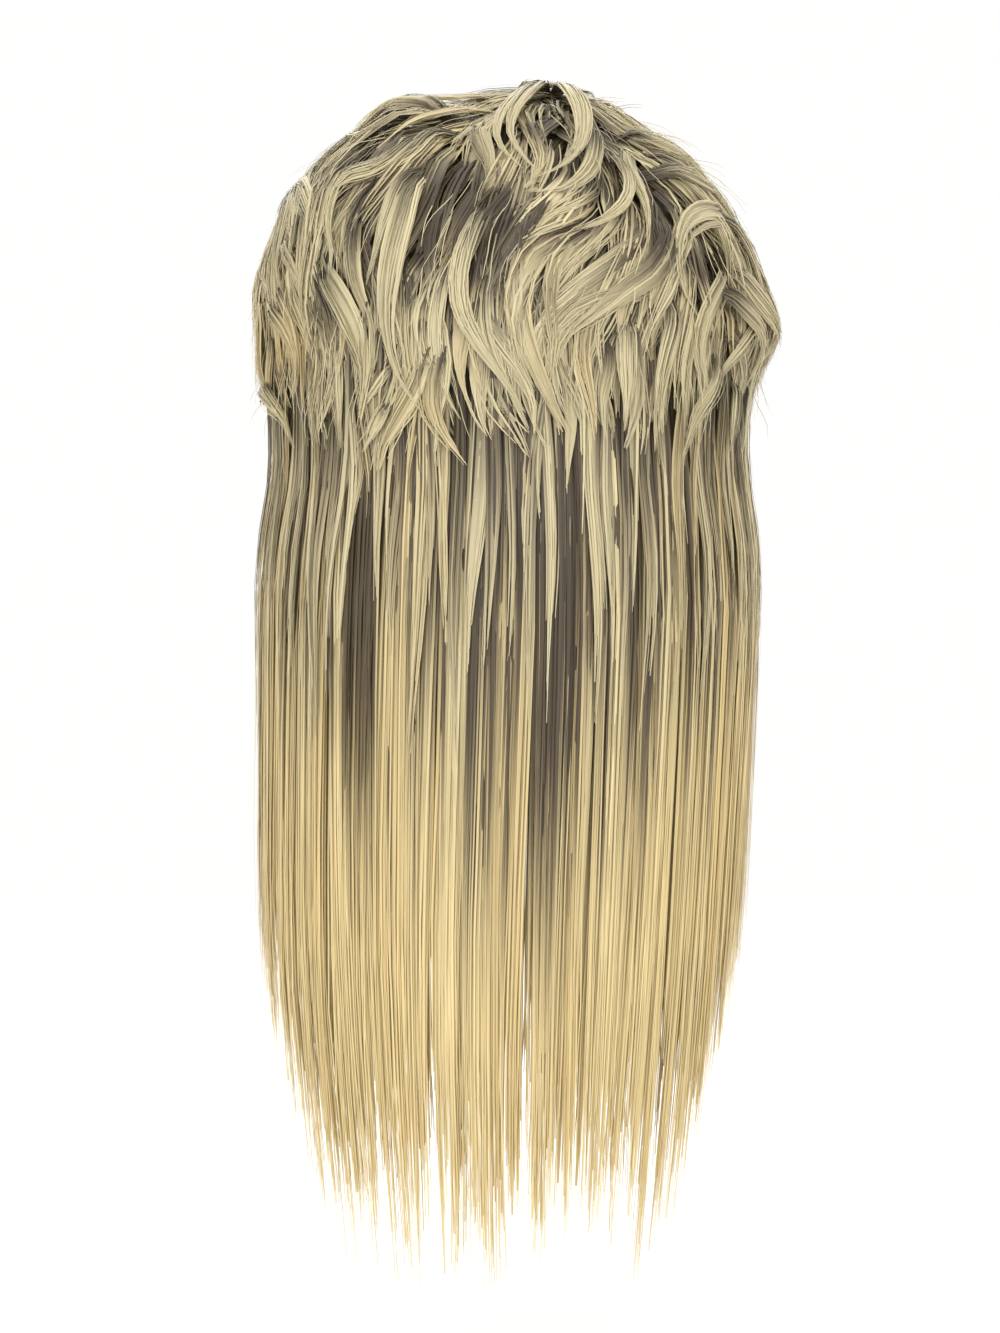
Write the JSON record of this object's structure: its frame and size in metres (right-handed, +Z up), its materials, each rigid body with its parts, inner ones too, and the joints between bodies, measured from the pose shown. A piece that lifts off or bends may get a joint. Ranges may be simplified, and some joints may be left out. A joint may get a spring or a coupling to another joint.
{
  "type": "mullet wig",
  "caption": "Mullet wig: short wavy hair over the crown, a fringe and temple hair, and long straight hair down the back, on a hollow stretch cap.",
  "frame": {"origin": "inside of the cap at the crown, where the wig rests on the head", "axes": "+Z up, the face looks along -Y, the wearer's left is +X"},
  "size_m": [0.2229, 0.2307, 0.4938],
  "materials": {
    "cap_net": "dark stretch net with sewn wefts",
    "crown_hair": "wavy synthetic hair, pale blonde over dark roots, soft sheen",
    "short_hair": "short synthetic hair, pale blonde, soft sheen",
    "long_hair": "straight synthetic hair, dark roots running to golden blonde tips, soft sheen"
  },
  "bodies": {
    "root": {"wig_cap": "cap_net", "crown_hair": "crown_hair", "fringe": "short_hair", "temple_hair_left": "short_hair", "temple_hair_right": "short_hair", "long_back_hair": "long_hair"}
  },
  "joints": []
}
